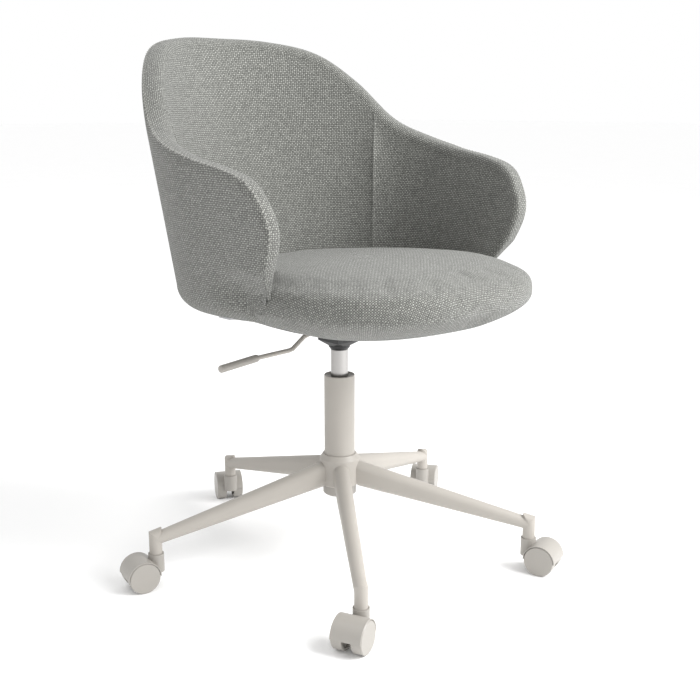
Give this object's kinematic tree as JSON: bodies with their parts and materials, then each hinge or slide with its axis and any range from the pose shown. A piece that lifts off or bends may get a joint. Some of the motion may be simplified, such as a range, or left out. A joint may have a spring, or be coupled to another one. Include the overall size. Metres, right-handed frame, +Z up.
{
  "type": "swivel office chair",
  "caption": "Swivel chair with a one-piece upholstered tub back and arms, a round seat pad, a gas lift with lever and a five-star base on twin-wheel casters.",
  "frame": {"origin": "on the floor under the column axis", "axes": "+Z up along the column; a sitter faces -Y; +X is at the sitter's left"},
  "size_m": [0.708, 0.6805, 0.8471],
  "materials": {
    "greige_metal": "satin powder coat, warm light grey",
    "greige_plastic": "moulded, fine satin",
    "satin_chrome": "satin chrome",
    "bearing_steel": "zinc plated",
    "black_metal": "black powder coat",
    "black_plastic": "moulded",
    "black_rubber": "matte",
    "beech": "unfinished",
    "plywood": "unfinished plywood",
    "core_plastic": "moulded",
    "dust_cloth": "non-woven, matte",
    "seat_fabric": "coarse flecked weave over foam, mid grey",
    "shell_fabric": "coarse flecked weave over foam, mid grey"
  },
  "bodies": {
    "base": {"hub": "greige_metal", "hub_cap": "greige_plastic", "leg_1": "greige_metal", "leg_2": "greige_metal", "leg_3": "greige_metal", "leg_4": "greige_metal", "leg_5": "greige_metal", "column_tube": "greige_metal", "guide_bush": "greige_plastic", "thrust_bearing": "bearing_steel", "caster_stems": "bearing_steel"},
    "swivel": {"piston_rod": "bearing_steel", "retaining_clip": "bearing_steel", "rod_washer": "bearing_steel", "rubber_bumper": "black_rubber"},
    "seat": {"gas_cylinder": "satin_chrome", "rod_guide": "black_plastic", "mech_housing": "black_metal", "mech_plate": "black_metal", "mount_bolts": "bearing_steel", "tee_nuts": "bearing_steel", "pivot_pin": "bearing_steel", "seat_rails": "beech", "seat_board": "plywood", "seat_cushion": "seat_fabric", "seat_under_pad": "seat_fabric", "dust_cover": "dust_cloth", "shell_core": "core_plastic", "shell_tabs": "bearing_steel", "tab_screws": "bearing_steel", "shell_outer_pad": "shell_fabric", "shell_inner_pad": "shell_fabric"},
    "lever": {"lever_rod": "greige_metal", "lever_grip": "greige_plastic"},
    "valve": {"release_pin": "bearing_steel"},
    "caster_1": {"hood_1": "greige_plastic", "axle_1": "bearing_steel"},
    "wheel_1_left": {"wheel_1_left": "greige_plastic"},
    "wheel_1_right": {"wheel_1_right": "greige_plastic"},
    "caster_2": {"hood_2": "greige_plastic", "axle_2": "bearing_steel"},
    "wheel_2_left": {"wheel_2_left": "greige_plastic"},
    "wheel_2_right": {"wheel_2_right": "greige_plastic"},
    "caster_3": {"hood_3": "greige_plastic", "axle_3": "bearing_steel"},
    "wheel_3_left": {"wheel_3_left": "greige_plastic"},
    "wheel_3_right": {"wheel_3_right": "greige_plastic"},
    "caster_4": {"hood_4": "greige_plastic", "axle_4": "bearing_steel"},
    "wheel_4_left": {"wheel_4_left": "greige_plastic"},
    "wheel_4_right": {"wheel_4_right": "greige_plastic"},
    "caster_5": {"hood_5": "greige_plastic", "axle_5": "bearing_steel"},
    "wheel_5_left": {"wheel_5_left": "greige_plastic"},
    "wheel_5_right": {"wheel_5_right": "greige_plastic"}
  },
  "joints": [
    {"name": "seat_swivel", "type": "hinge", "parent": "base", "child": "swivel", "pos_m": [0, 0, 0.12], "axis": [0, 0, 1], "continuous": true},
    {"name": "seat_lift", "type": "slide", "parent": "swivel", "child": "seat", "axis": [0, 0, 1], "range_m": [0, 0.08]},
    {"name": "lever_lift", "type": "hinge", "parent": "seat", "child": "lever", "pos_m": [-0.017, 0, 0.389], "axis": [0, 1, 0], "range_deg": [0, 8], "stiffness_Nm_per_rad": 1, "springref_deg": -11.46},
    {"name": "valve_press", "type": "slide", "parent": "seat", "child": "valve", "axis": [0, 0, -1], "range_m": [0, 0.0032]},
    {"name": "caster_1_swivel", "type": "hinge", "parent": "base", "child": "caster_1", "pos_m": [0.18398, -0.25322, 0.05], "axis": [0, 0, 1], "continuous": true},
    {"name": "wheel_1_left_roll", "type": "hinge", "parent": "caster_1", "child": "wheel_1_left", "pos_m": [0.19201, -0.27795, 0.0242], "axis": [0.9511, 0.309, 0], "continuous": true},
    {"name": "wheel_1_right_roll", "type": "hinge", "parent": "caster_1", "child": "wheel_1_right", "pos_m": [0.19201, -0.27795, 0.0242], "axis": [0.9511, 0.309, 0], "continuous": true},
    {"name": "caster_2_swivel", "type": "hinge", "parent": "base", "child": "caster_2", "pos_m": [0.29768, 0.09672, 0.05], "axis": [0, 0, 1], "continuous": true},
    {"name": "wheel_2_left_roll", "type": "hinge", "parent": "caster_2", "child": "wheel_2_left", "pos_m": [0.31924, 0.11126, 0.0242], "axis": [-0.5592, 0.829, 0], "continuous": true},
    {"name": "wheel_2_right_roll", "type": "hinge", "parent": "caster_2", "child": "wheel_2_right", "pos_m": [0.31924, 0.11126, 0.0242], "axis": [-0.5592, 0.829, 0], "continuous": true},
    {"name": "caster_3_swivel", "type": "hinge", "parent": "base", "child": "caster_3", "pos_m": [0, 0.313, 0.05], "axis": [0, 0, 1], "continuous": true},
    {"name": "wheel_3_left_roll", "type": "hinge", "parent": "caster_3", "child": "wheel_3_left", "pos_m": [0.0114, 0.33637, 0.0242], "axis": [-0.8988, 0.4384, 0], "continuous": true},
    {"name": "wheel_3_right_roll", "type": "hinge", "parent": "caster_3", "child": "wheel_3_right", "pos_m": [0.0114, 0.33637, 0.0242], "axis": [-0.8988, 0.4384, 0], "continuous": true},
    {"name": "caster_4_swivel", "type": "hinge", "parent": "base", "child": "caster_4", "pos_m": [-0.29768, 0.09672, 0.05], "axis": [0, 0, 1], "continuous": true},
    {"name": "wheel_4_left_roll", "type": "hinge", "parent": "caster_4", "child": "wheel_4_left", "pos_m": [-0.32301, 0.10257, 0.0242], "axis": [-0.225, -0.9744, 0], "continuous": true},
    {"name": "wheel_4_right_roll", "type": "hinge", "parent": "caster_4", "child": "wheel_4_right", "pos_m": [-0.32301, 0.10257, 0.0242], "axis": [-0.225, -0.9744, 0], "continuous": true},
    {"name": "caster_5_swivel", "type": "hinge", "parent": "base", "child": "caster_5", "pos_m": [-0.18398, -0.25322, 0.05], "axis": [0, 0, 1], "continuous": true},
    {"name": "wheel_5_left_roll", "type": "hinge", "parent": "caster_5", "child": "wheel_5_left", "pos_m": [-0.20808, -0.26296, 0.0242], "axis": [0.3746, -0.9272, 0], "continuous": true},
    {"name": "wheel_5_right_roll", "type": "hinge", "parent": "caster_5", "child": "wheel_5_right", "pos_m": [-0.20808, -0.26296, 0.0242], "axis": [0.3746, -0.9272, 0], "continuous": true}
  ],
  "couplings": [
    {"joint": "valve_press", "follows": "lever_lift", "m_per_rad": 0.022}
  ]
}
